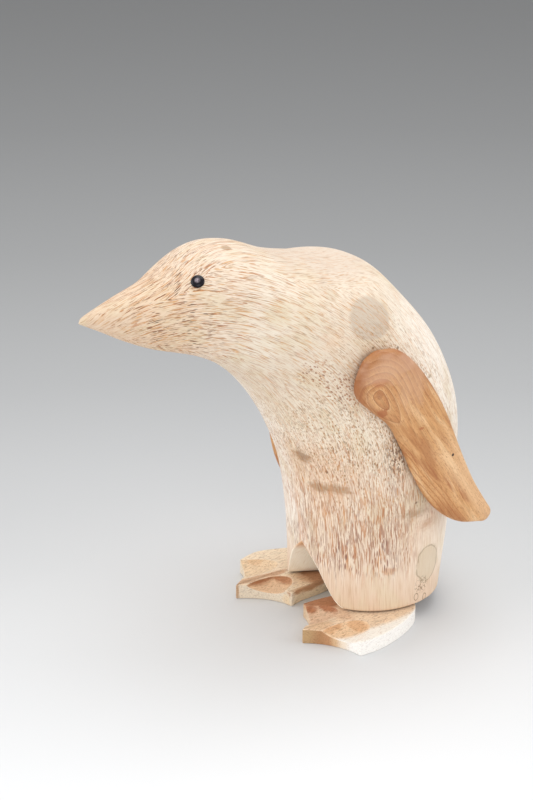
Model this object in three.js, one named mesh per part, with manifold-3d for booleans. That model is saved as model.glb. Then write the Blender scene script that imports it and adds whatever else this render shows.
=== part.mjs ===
// A carved wooden penguin, leaning forward on two flat webbed feet. One bent piece of root wood
// makes the head, beak, trunk and legs. Two paddle wings, two feet and two bead eyes are fixed to it.
// Millimetres, +Z up. The bird faces -Y and its left side is +X.

import * as THREE from 'three';
import { mergeVertices } from 'three/addons/utils/BufferGeometryUtils.js';
import Module from 'manifold-3d';

const wasm = await Module();
wasm.setup();

// Driving sizes of the whole bird. The trunk's middle, at floor height, is the zero of every place
// below, and the last lines of the file move the bird so that its box is centred on the origin.
const GAP = 0.3;
const FOOT_THICKNESS = 10;
const LEG_CUT = FOOT_THICKNESS + GAP;

// The body's ovals, from the flat cut above the feet to the end of the beak. Each is a slanting
// section of the root: [back y, back z, belly y, belly z, half width].
const BODY_OVALS = [
  [43, LEG_CUT, -50, LEG_CUT, 51],
  [50, 62, -52.5, 56, 52],
  [54, 109, -58, 96, 56],
  [48.5, 147.5, -68.5, 125, 60],
  [31.5, 183, -80.5, 146, 61],
  [7.5, 212, -93.5, 163, 60],
  [-18, 234, -107, 176, 58],
  [-48, 239, -121, 186, 52],
  [-76.5, 245.5, -134.5, 192.5, 45],
  [-104, 255.5, -148, 197, 38.5],
  [-127.5, 255.5, -162, 201, 29.5],
  [-152.5, 241.5, -177.5, 208, 21],
  [-179, 233.5, -191, 215.6, 11.5],
  [-200.5, 226.6, -200.5, 220.6, 3.2],
  [-203.7, 224, -203.7, 222.2, 0.9],
];
const OVAL_FULLNESS = 2.15;
const LEG_RIM_ROUNDING = 2.5;
const BEAK_TIP_LENGTH = 1.4;
const BEAK_TAPER = 35;
const BODY_SIDES = 44;
const BODY_ROWS_PER_OVAL = 3;
const END_ROWS = 4;

// The notch that parts the legs: a pointed arch on the front of the trunk that narrows to nothing
// near the back. Half of the arch, at NOTCH_FACE_Y, as [x, height above the leg cut].
const NOTCH_FACE_Y = -50;
const NOTCH_END_Y = 28;
const NOTCH_HALF_ARCH = [
  [0, 37],
  [7.3, 31.4],
  [14.4, 25.3],
  [20.9, 15.5],
  [27.4, 6.4],
  [32.3, 2.3],
  [38, -0.5],
];
const NOTCH_OVERSHOOT = 1.25;
const NOTCH_TIP_SIZE = 0.01;

// The bead eyes: low domes on short pegs, each in a drilled socket square to the side of the head.
// The right one sits a little lower and is pressed in deeper.
const EYE_RADIUS = 4;
const EYE_DOME = 1.7;
const EYE_PEG = 4;
const LEFT_EYE = { place: [22.8, -140, 242.8], facing: [0.55, -0.46, 0.7], sunk: 0.1 };
const RIGHT_EYE = { place: [-26.3, -144.4, 235.7], facing: [-0.745, -0.435, 0.505], sunk: 1.2 };
const EYE_SIDES = 20;
const EYE_DOME_ROWS = 4;

// The wings: rounded paddles. Their ovals run from the shoulder to the tip, each through a point on
// the rear edge and a point on the front edge, as distances below the shoulder and in front of the
// wing's line: [rear below, rear, front below, front, half thickness].
const WING_OVALS = [
  [-16.5, -7, -18, 9, 3.6],
  [-9.5, -14.6, -10.5, 18.8, 5],
  [0, -18.6, -2, 21.8, 5.9],
  [15, -20.9, 13, 18.8, 6.2],
  [33, -21.5, 31, 14.8, 6.2],
  [52, -20.2, 51, 16.2, 6],
  [72, -17, 72, 19, 5.8],
  [92, -13.9, 94, 20.6, 5.6],
  [111, -11.6, 113, 17.8, 5.2],
  [127, -11.1, 128, 11.4, 4.4],
  [138.5, -11.2, 142.2, -0.8, 3],
];
const WING_FULLNESS = 2.9;
const WING_SIDES = 24;
const WING_ROWS_PER_OVAL = 2;
const WING_END_LENGTH = { shoulder: 5, tip: 9.2 };
const WING_END_TAPER = 30;
const WING_SHOULDER = { out: 65.5, y: -38, z: 178 };
const WING_LEAN_IN = 3;
const WING_SWEEP = { left: 35, right: 15.9 };

// The feet, seen from above: the toe tips, and the outline from the outer toe back to the heel and
// forward again to the inner toe. Distances from the middle of the bird outwards, and y.
const FEET = {
  left: { inner: [9.5, -57], middle: [38, -77], outer: [71.5, -56] },
  right: { inner: [6.5, -55], middle: [36, -79.5], outer: [66.5, -57] },
};
const HEEL = [38, 6];
const OUTER_SIDE = [[71, -41], [66.5, -24], [59.5, -9], [51, 1.5]];
const INNER_SIDE = [[25, 1.5], [15.5, -12], [11.5, -28], [9.5, -45]];

// Each web is a curve between two toe tips that bends this far along from the middle toe, and this
// far back. The hollow scooped out of it is part of a ball drawn out towards the heel, its middle a
// share of the way from the inner or outer toe to the middle one.
const WEB_BEND = 0.62;
const WEB_DEPTH = 5.5;
const OUTLINE_STEPS = 5;
const SCOOP_DEPTH = 4.4;
const SCOOP_RISE = 3;
const SCOOPS = {
  inner: { fromToe: 0.5, length: 27, halfWidth: 13.5 },
  outer: { fromToe: 0.39, length: 31, halfWidth: 14 },
};
const SCOOP_SIDES = 20;
const SCOOP_ROWS = 14;

const MERGE_DISTANCE = 1e-4;

const rad = THREE.MathUtils.degToRad;

// A closed solid from a three.js geometry: shared corners merged, pole slivers dropped.
function solidOf(geometry) {
  const bare = geometry.clone();
  for (const name of Object.keys(bare.attributes)) {
    if (name !== 'position') bare.deleteAttribute(name);
  }
  const merged = mergeVertices(bare, MERGE_DISTANCE);
  const corners = [];
  for (let i = 0; i < merged.index.count; i += 3) {
    const [a, b, c] = [merged.index.getX(i), merged.index.getX(i + 1), merged.index.getX(i + 2)];
    if (a !== b && b !== c && c !== a) corners.push(a, b, c);
  }
  return new wasm.Manifold(new wasm.Mesh({
    numProp: 3,
    vertProperties: Float32Array.from(merged.attributes.position.array),
    triVerts: Uint32Array.from(corners),
  }));
}

// The three.js geometry of a solid, flat-shaded.
function geometryOf(solid) {
  const mesh = solid.getMesh();
  const geometry = new THREE.BufferGeometry();
  geometry.setAttribute('position', new THREE.BufferAttribute(new Float32Array(mesh.vertProperties), 3));
  geometry.setIndex(new THREE.BufferAttribute(new Uint32Array(mesh.triVerts), 1));
  geometry.computeVertexNormals();
  return geometry;
}

// The oval at any place along a table of ovals: a smooth run through all five numbers at once.
function ovalAt(ovals, place) {
  const last = ovals.length - 1;
  const at = Math.min(Math.floor(place), last - 1);
  const t = place - at;
  const row = (i) => {
    if (i < 0) return ovals[0].map((value, k) => 2 * value - ovals[1][k]);
    if (i > last) return ovals[last].map((value, k) => 2 * value - ovals[last - 1][k]);
    return ovals[i];
  };
  const [p0, p1, p2, p3] = [row(at - 1), row(at), row(at + 1), row(at + 2)];
  return p1.map((_, k) => 0.5 * (
    2 * p1[k] + (p2[k] - p0[k]) * t
    + (2 * p0[k] - 5 * p1[k] + 4 * p2[k] - p3[k]) * t * t
    + (3 * p1[k] - p0[k] - 3 * p2[k] + p3[k]) * t * t * t));
}

// The turned outline of a rounded end, from its pole to the circle where a bar that tapers at the
// given angle runs into it: [radius, distance beyond that circle].
function roundedEnd(taper) {
  return Array.from({ length: END_ROWS }, (_, i) => {
    const turn = (i / END_ROWS) * rad(90 - taper);
    return [Math.sin(turn) / Math.cos(rad(taper)), Math.cos(turn) - Math.sin(rad(taper))];
  });
}

// A bar carved through a table of ovals. It starts as a blank turned on the lathe, one unit long for
// each oval, then is bent so that every turned circle becomes its slanting oval, drawn in the plane
// of the table's points with its width across that plane. A swell makes the bar fatter all over.
function carvedBar(ovals, shape) {
  const { sides, rowsPerOval, fullness, swell = 0 } = shape;
  const { startProfile, startLength = 0, endLength, endTaper } = shape;
  const last = ovals.length - 1;
  const profile = startProfile.map(([radius, place]) => new THREE.Vector2(radius, place));
  const firstPlace = Math.max(startProfile.at(-1)[1], 0);
  for (let i = 0; i <= last * rowsPerOval; i += 1) {
    const place = i / rowsPerOval;
    if (place >= firstPlace) profile.push(new THREE.Vector2(1, place));
  }
  for (const [radius, beyond] of roundedEnd(endTaper).reverse()) {
    profile.push(new THREE.Vector2(radius, last + beyond));
  }
  const blank = new THREE.LatheGeometry(profile, sides);
  const position = blank.attributes.position;
  const full = (value) => Math.sign(value) * Math.abs(value) ** (2 / fullness);
  for (let i = 0; i < position.count; i += 1) {
    const place = position.getY(i);
    const within = THREE.MathUtils.clamp(place, 0, last);
    const [a1, b1, a2, b2, halfWidth] = ovalAt(ovals, within);
    const middle = new THREE.Vector2(a1 + a2, b1 + b2).multiplyScalar(0.5);
    const half = new THREE.Vector2(a1 - a2, b1 - b2).multiplyScalar(0.5);
    const onward = new THREE.Vector2(-half.y, half.x).normalize();
    middle.addScaledVector(onward, (place - within) * (place < 0 ? startLength : endLength));
    const radius = Math.hypot(position.getX(i), position.getZ(i));
    const turn = Math.atan2(-position.getX(i), position.getZ(i));
    const along = radius * full(Math.cos(turn)) * (1 + swell / half.length());
    const across = radius * full(Math.sin(turn)) * (halfWidth + swell);
    position.setXYZ(i, across, middle.x + half.x * along, middle.y + half.y * along);
  }
  return blank;
}

// The whole body before it is cut: flat under the legs with a softened rim, domed at the beak's end.
function bodyBlank(swell) {
  const rim = LEG_RIM_ROUNDING / BODY_OVALS[0][4];
  const rimRun = LEG_RIM_ROUNDING / (BODY_OVALS[1][1] - BODY_OVALS[0][1]);
  return solidOf(carvedBar(BODY_OVALS, {
    sides: BODY_SIDES,
    rowsPerOval: BODY_ROWS_PER_OVAL,
    fullness: OVAL_FULLNESS,
    endLength: BEAK_TIP_LENGTH,
    endTaper: BEAK_TAPER,
    startProfile: [[0, 0], [1 - rim, 0], [1 - 0.3 * rim, 0.3 * rimRun], [1, rimRun]],
    swell,
  }));
}

// The cutter for the notch: the arch drawn in front of the trunk, shrinking to a point near the back.
function notchCutter() {
  const arch = new THREE.Shape();
  const below = -LEG_CUT;
  arch.moveTo(NOTCH_HALF_ARCH[0][0], NOTCH_HALF_ARCH[0][1]);
  for (const [x, z] of NOTCH_HALF_ARCH.slice(1)) arch.lineTo(x, z);
  arch.lineTo(NOTCH_HALF_ARCH.at(-1)[0], below);
  arch.lineTo(-NOTCH_HALF_ARCH.at(-1)[0], below);
  for (const [x, z] of NOTCH_HALF_ARCH.slice(1).reverse()) arch.lineTo(-x, z);
  arch.closePath();
  const cutter = new THREE.ExtrudeGeometry(arch, { depth: 1, bevelEnabled: false });
  const position = cutter.attributes.position;
  for (let i = 0; i < position.count; i += 1) {
    const size = position.getZ(i) > 0.5 ? NOTCH_OVERSHOOT : NOTCH_TIP_SIZE;
    const y = NOTCH_END_Y + (NOTCH_FACE_Y - NOTCH_END_Y) * size;
    position.setXYZ(i, position.getX(i) * size, y, LEG_CUT + position.getY(i) * size);
  }
  return solidOf(cutter);
}

// An eye's peg and dome, or with a gap all round it, the cutter for its socket.
function eye({ place, facing, sunk }, gap) {
  const radius = EYE_RADIUS + gap;
  const profile = [new THREE.Vector2(0, -EYE_PEG - gap), new THREE.Vector2(radius, -EYE_PEG - gap)];
  for (let i = 0; i < EYE_DOME_ROWS; i += 1) {
    const turn = (i / EYE_DOME_ROWS) * Math.PI / 2;
    profile.push(new THREE.Vector2(radius * Math.cos(turn), (EYE_DOME + gap) * Math.sin(turn)));
  }
  profile.push(new THREE.Vector2(0, EYE_DOME + gap));
  const peg = new THREE.LatheGeometry(profile, EYE_SIDES);
  const outward = new THREE.Vector3(...facing).normalize();
  peg.applyQuaternion(new THREE.Quaternion().setFromUnitVectors(new THREE.Vector3(0, 1, 0), outward));
  peg.translate(...place);
  peg.translate(...outward.multiplyScalar(-sunk).toArray());
  return solidOf(peg);
}

// One wing: a rounded paddle hung from the shoulder, its inner face hollowed to sit on the body.
function wing(side, sweep) {
  const paddle = carvedBar(WING_OVALS, {
    sides: WING_SIDES,
    rowsPerOval: WING_ROWS_PER_OVAL,
    fullness: WING_FULLNESS,
    startLength: WING_END_LENGTH.shoulder,
    endLength: WING_END_LENGTH.tip,
    endTaper: WING_END_TAPER,
    startProfile: roundedEnd(WING_END_TAPER).map(([radius, beyond]) => [radius, -beyond]),
  });
  const across = new THREE.Vector3(-1, 0, 0);
  const down = new THREE.Vector3(0, Math.sin(rad(sweep)), -Math.cos(rad(sweep)));
  const front = new THREE.Vector3().crossVectors(across, down);
  paddle.applyMatrix4(new THREE.Matrix4().makeBasis(across, down, front));
  paddle.rotateY(side * rad(WING_LEAN_IN));
  paddle.translate(side * WING_SHOULDER.out, WING_SHOULDER.y, WING_SHOULDER.z);
  return solidOf(paddle).subtract(bodyBlank(GAP));
}

// A hollow scooped out of the top of one web, deepest at the web's front edge.
function scoop(toe, middle, { fromToe, length, halfWidth }) {
  const front = toe.clone().lerp(middle, fromToe);
  const ball = new THREE.SphereGeometry(1, SCOOP_SIDES, SCOOP_ROWS);
  ball.scale(halfWidth, length, SCOOP_DEPTH + SCOOP_RISE);
  ball.rotateZ(-Math.atan2(HEEL[0] - front.x, HEEL[1] - front.y));
  ball.translate(front.x, front.y, FOOT_THICKNESS + SCOOP_RISE);
  return solidOf(ball);
}

// One foot, as a left one: a flat plate with three pointed toes, two webs that curve in between
// them, and a hollow scooped out of each web.
function foot(toes) {
  const inner = new THREE.Vector2(...toes.inner);
  const middle = new THREE.Vector2(...toes.middle);
  const outer = new THREE.Vector2(...toes.outer);
  const bendTowards = (toe) => new THREE.Vector2(
    THREE.MathUtils.lerp(toe.x, middle.x, WEB_BEND),
    THREE.MathUtils.lerp(middle.y, toe.y, WEB_BEND) + WEB_DEPTH,
  );
  const innerBend = bendTowards(inner);
  const outerBend = bendTowards(outer);
  const outline = new THREE.Shape();
  outline.moveTo(inner.x, inner.y);
  outline.quadraticCurveTo(innerBend.x, innerBend.y, middle.x, middle.y);
  outline.quadraticCurveTo(outerBend.x, outerBend.y, outer.x, outer.y);
  const side = [...OUTER_SIDE, HEEL, ...INNER_SIDE, toes.inner];
  outline.splineThru(side.map(([x, y]) => new THREE.Vector2(x, y)));
  const plate = new THREE.ExtrudeGeometry(outline, {
    depth: FOOT_THICKNESS,
    curveSegments: OUTLINE_STEPS,
    bevelEnabled: false,
  });
  return solidOf(plate)
    .subtract(scoop(inner, middle, SCOOPS.inner))
    .subtract(scoop(outer, middle, SCOOPS.outer));
}

// The same geometry on the bird's other side, its faces turned the right way out again.
function mirrored(geometry) {
  const twin = geometry.clone().scale(-1, 1, 1);
  const index = twin.index;
  for (let i = 0; i < index.count; i += 3) {
    const corner = index.getX(i);
    index.setX(i, index.getX(i + 1));
    index.setX(i + 1, corner);
  }
  twin.computeVertexNormals();
  return twin;
}

// Colours are the photograph's, as sRGB.
function finish(colour, roughness) {
  return new THREE.MeshStandardMaterial({ color: colour, roughness, metalness: 0 });
}

function piece(name, geometry, material) {
  const mesh = new THREE.Mesh(geometry, material);
  mesh.name = name;
  return mesh;
}

const LEFT = 1;
const RIGHT = -1;
const bird = new THREE.Group();
const body = bodyBlank(0)
  .subtract(notchCutter())
  .subtract(eye(LEFT_EYE, GAP))
  .subtract(eye(RIGHT_EYE, GAP));
bird.add(piece('body', geometryOf(body), finish(0xe9d3b4, 0.75)));
bird.add(piece('left_wing', geometryOf(wing(LEFT, WING_SWEEP.left)), finish(0xc08a55, 0.55)));
bird.add(piece('right_wing', geometryOf(wing(RIGHT, WING_SWEEP.right)), finish(0xb87c4a, 0.55)));
bird.add(piece('left_foot', geometryOf(foot(FEET.left)), finish(0xd9b48a, 0.65)));
bird.add(piece('right_foot', mirrored(geometryOf(foot(FEET.right))), finish(0xd6b188, 0.65)));
bird.add(piece('left_eye', geometryOf(eye(LEFT_EYE, 0)), finish(0x0b0a10, 0.08)));
bird.add(piece('right_eye', geometryOf(eye(RIGHT_EYE, 0)), finish(0x0b0a10, 0.08)));

// The origin is on the floor, under the middle of the whole bird's box.
const box = new THREE.Box3().setFromObject(bird);
const middle = box.getCenter(new THREE.Vector3());
bird.position.set(-middle.x, -middle.y, -box.min.z);

export default bird;
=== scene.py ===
import math

import bmesh
import bpy
import numpy as np
from mathutils import Matrix, Vector, noise
from mathutils.bvhtree import BVHTree


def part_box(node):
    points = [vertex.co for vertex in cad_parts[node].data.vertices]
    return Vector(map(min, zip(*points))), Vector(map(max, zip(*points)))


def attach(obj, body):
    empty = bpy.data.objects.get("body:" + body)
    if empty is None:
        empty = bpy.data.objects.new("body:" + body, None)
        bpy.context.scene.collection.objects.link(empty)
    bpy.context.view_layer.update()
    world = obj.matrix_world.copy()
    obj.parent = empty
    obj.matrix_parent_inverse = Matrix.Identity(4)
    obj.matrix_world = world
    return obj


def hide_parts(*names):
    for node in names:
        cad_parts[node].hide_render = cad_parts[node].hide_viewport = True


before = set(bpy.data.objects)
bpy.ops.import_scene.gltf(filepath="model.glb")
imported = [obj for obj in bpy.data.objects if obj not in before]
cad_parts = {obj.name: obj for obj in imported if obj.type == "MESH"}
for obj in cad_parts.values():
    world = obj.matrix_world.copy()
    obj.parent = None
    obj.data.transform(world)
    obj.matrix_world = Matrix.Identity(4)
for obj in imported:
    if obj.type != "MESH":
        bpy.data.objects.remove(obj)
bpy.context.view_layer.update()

# A carved wooden penguin: the fine shapes and the wood of its body, wings and feet, and its bead
# eyes. Sizes are millimetres from the trunk's middle at floor height, x to the bird's left, y to
# its back and z up; MM and TRUNK turn them into the frame's metres.
MM = 0.001
LEFT = 1
RIGHT = -1

# The body's ovals, from the flat cut above the feet to the end of the beak:
# [back y, back z, belly y, belly z, half width].
LEG_CUT = 10.3
BODY_OVALS = np.array([
    [43, LEG_CUT, -50, LEG_CUT, 51],
    [50, 62, -52.5, 56, 52],
    [54, 109, -58, 96, 56],
    [48.5, 147.5, -68.5, 125, 60],
    [31.5, 183, -80.5, 146, 61],
    [7.5, 212, -93.5, 163, 60],
    [-18, 234, -107, 176, 58],
    [-48, 239, -121, 186, 52],
    [-76.5, 245.5, -134.5, 192.5, 45],
    [-104, 255.5, -148, 197, 38.5],
    [-127.5, 255.5, -162, 201, 29.5],
    [-152.5, 241.5, -177.5, 208, 21],
    [-179, 233.5, -191, 215.6, 11.5],
    [-200.5, 226.6, -200.5, 220.6, 3.2],
    [-203.7, 224, -203.7, 222.2, 0.9],
])
BODY_FULLNESS = 2.15
LEG_RIM_ROUNDING = 2.5
BEAK_TIP_LENGTH = 1.4
BEAK_TAPER = 35
BODY_ROWS = 296
BODY_COLUMNS = 236
END_ROWS = 12
RIM_ROWS = 7
OVAL_STEPS = 2000
MERGE_WITHIN_METRES = 1e-6

# The body's unevenness and the weathered grooves low on its trunk: how high, and how long their
# waves are across, off and along the grain. The grooves run out over the heights given.
HAND_SANDING = {"height": 0.22, "wave": (17, 17, 26)}
GROOVES = {"height": 0.13, "wave": (2.6, 2.6, 16), "start": 300, "from": (30, 42), "to": (90, 130)}

# The notch between the legs is a cone: its point is near the back of the leg cut, and its rim is
# the arch drawn on the front of the trunk, given as half widths and heights above the leg cut.
NOTCH_FACE_Y = -50
NOTCH_END_Y = 28
NOTCH_HALF_WIDTHS = [0, 7.3, 14.4, 20.9, 27.4, 32.3, 38]
NOTCH_HEIGHTS = [37, 31.4, 25.3, 15.5, 6.4, 2.3, -0.5]
NOTCH_LEAST_SIZE = 0.02
NOTCH_SHADING = (0.3, 1.6)
RIM_SEARCH_STEPS = 40

# The mesh's columns crowd together at the notch's rim, by these shares of half its girth. The next
# column is COLUMN_STEP times as far in as the last of them, and the rows inside the notch start at
# NOTCH_STEP times these shares.
EDGE_STEPS = np.array([0, 0.0026, 0.0056, 0.009, 0.013])
COLUMN_STEP = 1.4
NOTCH_STEP = 2.5
NOTCH_SHARES = np.linspace(0.95, 0, 20)
EDGE_SOFTENING = 1.8
EDGE_ROUNDS = 5

# The line that the root's grain follows, up the trunk, over the neck and down into the beak: [y, z].
GRAIN_LINE = np.array([
    [17, -20], [13.5, 20], [12, 60], [7.5, 99.5], [-2, 138], [-19.5, 174.5], [-44.5, 205], [-76, 230],
    [-112, 247], [-151.5, 251.5], [-190, 242], [-223, 219.5],
])
GRAIN_STEPS = 1500
GRAIN_BATCHES = 60

EYE_RADIUS = 4
EYE_DOME = 1.7
EYE_PEG = 4
LEFT_EYE = {"place": (22.8, -140, 242.8), "facing": (0.55, -0.46, 0.7), "sunk": 0.1}
RIGHT_EYE = {"place": (-26.3, -144.4, 235.7), "facing": (-0.745, -0.435, 0.505), "sunk": 1.2}
EYE_SIDES = 64
EYE_ROWS = 14
EYE_SHARP_ANGLE = 60

# The wings' ovals, from the shoulder to the tip: [rear below, rear, front below, front, half thickness].
WING_OVALS = np.array([
    [-16.5, -7, -18, 9, 3.6],
    [-9.5, -14.6, -10.5, 18.8, 5],
    [0, -18.6, -2, 21.8, 5.9],
    [15, -20.9, 13, 18.8, 6.2],
    [33, -21.5, 31, 14.8, 6.2],
    [52, -20.2, 51, 16.2, 6],
    [72, -17, 72, 19, 5.8],
    [92, -13.9, 94, 20.6, 5.6],
    [111, -11.6, 113, 17.8, 5.2],
    [127, -11.1, 128, 11.4, 4.4],
    [138.5, -11.2, 142.2, -0.8, 3],
])
WING_FULLNESS = 2.9
WING_END_LENGTH = {"shoulder": 5, "tip": 9.2}
WING_END_TAPER = 30
WING_SHOULDER = Vector((65.5, -38, 178))
WING_LEAN_IN = 3
WING_SWEEP = {LEFT: 35, RIGHT: 15.9}
WING_ROWS = 200
WING_COLUMNS = 120
WING_GAP = 0.3
WING_UNEVENNESS = {"height": 0.12, "wave": (9, 22, 9), "start": 40}
BEYOND_THE_WINGS = 200
# How far the painted shade on the body round the wings reaches.
WING_SHADE_REACH = 4.5

FOOT_THICKNESS = 10
TOES = {
    LEFT: {"inner": (9.5, -57), "middle": (38, -77), "outer": (71.5, -56)},
    RIGHT: {"inner": (6.5, -55), "middle": (36, -79.5), "outer": (66.5, -57)},
}
HEEL = (38, 6)
OUTER_SIDE = [(71, -41), (66.5, -24), (59.5, -9), (51, 1.5)]
INNER_SIDE = [(25, 1.5), (15.5, -12), (11.5, -28), (9.5, -45)]
FOOT_MIDDLE = np.array([38, -26])
WEB_BEND = 0.62
WEB_DEPTH = 5.5
SCOOP_DEPTH = 4.4
SCOOP_RISE = 3
SCOOPS = {
    "inner": {"from_toe": 0.5, "length": 27, "half_width": 13.5},
    "outer": {"from_toe": 0.39, "length": 31, "half_width": 14},
}
FOOT_OUTLINE_STEP = 0.55
FOOT_RINGS = 70
FOOT_WALL_ROWS = 10
FOOT_EDGE = 0.7
FOOT_EDGE_ROWS = 5
FOOT_BOTTOM_ROWS = 6
FOOT_SIDE_STEPS = 400
FOOT_WEB_STEPS = 200
FOOT_OUTLINE_ROUNDS = 2
FOOT_SHARP_ANGLE = 40
NO_HOLLOW = 1000

CAMERA_AZIMUTH = 57
CAMERA_PITCH = 21
CAMERA_DISTANCE = 1200
CAMERA_AIM = Vector((-70.9, -32.7, 118.4))
CAMERA_LENS_MM = 81.82

# The floor, in metres: the middle of a pool of light painted on its paper, and its painted grey by the
# distance from there, falling off as light does.
FLOOR_HALF_WIDTH = 8
FLOOR_LIGHT_POOL = (0.38, -0.25, 0)
FLOOR_REACH = 3.5
FLOOR_COOLNESS = 0.012
FLOOR_SHINE = 0.1
FLOOR_ROUGHNESS = 0.95
FLOOR_LIGHT_FALLOFF_GREYS = [
    (0, 0.89), (0.25, 0.86), (0.45, 0.7), (0.65, 0.535), (0.9, 0.421), (1.3, 0.326), (1.9, 0.288),
    (3.2, 0.232),
]

# The lamps, in metres and watts: place, height of the point they face, width and power.
LAMPS = {
    "overhead": ((-0.2, 0.35, 1.4), 0.1, 1.2, 6.5),
    "in_front": ((-0.8, -1.4, 0.5), 0.1, 1.8, 11.3),
    "camera_side": ((1.5, -0.9, 0.55), 0.1, 1.4, 6.2),
    "behind": ((1.1, 1.3, 0.7), 0.15, 1.2, 5.5),
}
ROOM_LIGHT = 0.83

# Where the trunk's middle stands in the frame: the beak's tip is the body's foremost point.
BEAK_TIP_Y = BODY_OVALS[-1, 0] - BEAK_TIP_LENGTH * (1 - math.sin(math.radians(BEAK_TAPER)))
body_low, body_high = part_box("body")
TRUNK = Vector(((body_low.x + body_high.x) / 2, body_low.y - BEAK_TIP_Y * MM, 0))


def in_frame(points):
    """Points in millimetres from the trunk's middle, as metres in the frame."""
    return np.asarray(points, float) * MM + np.array(TRUNK)


def from_trunk(points):
    """The other way round: metres in the frame as millimetres from the trunk's middle."""
    return (np.asarray(points, float) - np.array(TRUNK)) / MM


def soft_step(low, high, value):
    """0 below low, 1 above high, and a smooth rise between."""
    t = np.clip((value - low) / (high - low), 0, 1)
    return t * t * (3 - 2 * t)


def run_between(before, table, after, place):
    """The values at places between a table's rows, by a Catmull-Rom run with a row added at each end."""
    rows = np.vstack([before, table, after])
    at = np.clip(np.floor(place).astype(int), 0, len(table) - 2)
    t = (place - at)[..., None]
    p0, p1, p2, p3 = (rows[at + k] for k in range(4))
    return 0.5 * (2 * p1 + (p2 - p0) * t + (2 * p0 - 5 * p1 + 4 * p2 - p3) * t**2
                  + (3 * p1 - p0 - 3 * p2 + p3) * t**3)


def smooth_run(table, place):
    """The values at places between a table's rows, running straight on at its ends."""
    return run_between(2 * table[0] - table[1], table, 2 * table[-1] - table[-2], place)


def even_places(ovals, first, count):
    """Places along a table of ovals, from the first on, an equal distance apart."""
    fine = np.linspace(first, len(ovals) - 1, OVAL_STEPS)
    run = smooth_run(ovals, fine)
    middle = (run[:, 0:2] + run[:, 2:4]) / 2
    length = np.concatenate([[0], np.cumsum(np.linalg.norm(np.diff(middle, axis=0), axis=1))])
    return np.interp(np.linspace(0, length[-1], count), length, fine)


def rounded_end(taper, rows):
    """Radius and distance beyond the last oval of a domed end, from the oval to the pole."""
    turn = np.linspace(math.radians(90 - taper), 0, rows + 1)[1:]
    return np.sin(turn) / math.cos(math.radians(taper)), np.cos(turn) - math.sin(math.radians(taper))


def bar_points(ovals, place, radius, turn, fullness, end_length):
    """Points on a bar carved through ovals: [across, first, second], as the ovals' own axes run."""
    within = np.clip(place, 0, len(ovals) - 1)
    run = smooth_run(ovals, within)
    middle = (run[..., 0:2] + run[..., 2:4]) / 2
    half = (run[..., 0:2] - run[..., 2:4]) / 2
    onward = np.stack([-half[..., 1], half[..., 0]], -1)
    onward /= np.linalg.norm(onward, axis=-1, keepdims=True)
    middle = middle + onward * ((place - within) * end_length)[..., None]
    cos, sin = np.cos(turn), np.sin(turn)
    along = radius * np.sign(cos) * np.abs(cos) ** (2 / fullness)
    across = radius * np.sign(sin) * np.abs(sin) ** (2 / fullness) * run[..., 4]
    inside = middle + half * along[..., None]
    return np.concatenate([across[..., None], inside], -1)


def grid_faces(rows, columns, start=0):
    """The faces between the points of a grid that are numbered row by row."""
    corner = start + np.arange(rows * columns).reshape(rows, columns)
    faces = [corner[:-1, :-1], corner[:-1, 1:], corner[1:, 1:], corner[1:, :-1]]
    return np.stack(faces, -1).reshape(-1, 4)


def joined(grids):
    """Several grids of points as one list of points and one of faces."""
    points, faces, start = [], [], 0
    for grid in grids:
        rows, columns = grid.shape[:2]
        points.append(grid.reshape(-1, 3))
        faces.append(grid_faces(rows, columns, start))
        start += rows * columns
    return np.concatenate(points), np.concatenate(faces)


def closed_mesh(name, points, faces, smoothed=None, rounds=0):
    """One closed mesh from points in the frame: doubles merged, chosen edges eased, faces outward."""
    mesh = bpy.data.meshes.new(name)
    mesh.from_pydata(points.tolist(), [], faces.tolist())
    work = bmesh.new()
    work.from_mesh(mesh)
    bmesh.ops.remove_doubles(work, verts=work.verts, dist=MERGE_WITHIN_METRES)
    if smoothed is not None:
        near = smoothed(np.array([v.co for v in work.verts]))
        chosen = [v for v, use in zip(work.verts, near) if use]
        for _ in range(rounds):
            bmesh.ops.smooth_vert(work, verts=chosen, factor=0.5, use_axis_x=True, use_axis_y=True,
                                  use_axis_z=True)
    bmesh.ops.recalc_face_normals(work, faces=work.faces)
    work.to_mesh(mesh)
    work.free()
    mesh.shade_smooth()
    return mesh


def of_points(mesh, what):
    """The places ("co") or the normals ("normal") of the mesh's points, as an array."""
    flat = np.empty(len(mesh.vertices) * 3)
    mesh.vertices.foreach_get(what, flat)
    return flat.reshape(-1, 3)


def lift(mesh, height):
    """Moves every point along its normal by a height in millimetres."""
    moved = of_points(mesh, "co") + of_points(mesh, "normal") * (height * MM)[:, None]
    mesh.vertices.foreach_set("co", moved.ravel())
    mesh.update()


def store(mesh, name, values):
    """Stores a number, or a vector in metres, for each point, for the materials to read."""
    values = np.ascontiguousarray(values, dtype=float)
    kind, field = ("FLOAT", "value") if values.ndim == 1 else ("FLOAT_VECTOR", "vector")
    mesh.attributes.new(name, kind, "POINT").data.foreach_set(field, values.ravel())


def surface_tree(piece):
    """The piece's faces, ready for finding the nearest one."""
    mesh = piece.data
    return BVHTree.FromPolygons([v.co for v in mesh.vertices], [p.vertices for p in mesh.polygons])


def make_piece(name, mesh, material, slot):
    """Puts a finished mesh in the scene, in place of the solid of the same name."""
    mesh.materials.append(material)
    piece = bpy.data.objects.new(name + "_" + slot.split("_")[1], mesh)
    bpy.context.scene.collection.objects.link(piece)
    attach(piece, "root")
    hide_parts(name)
    return piece


def waves(points, size):
    """Gentle random waves between -1 and 1, for points in millimetres and a size of wave along each axis."""
    scaled = points / np.asarray(size, float)
    return np.array([noise.noise(Vector(p)) for p in scaled.tolist()])


# Body

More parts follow.
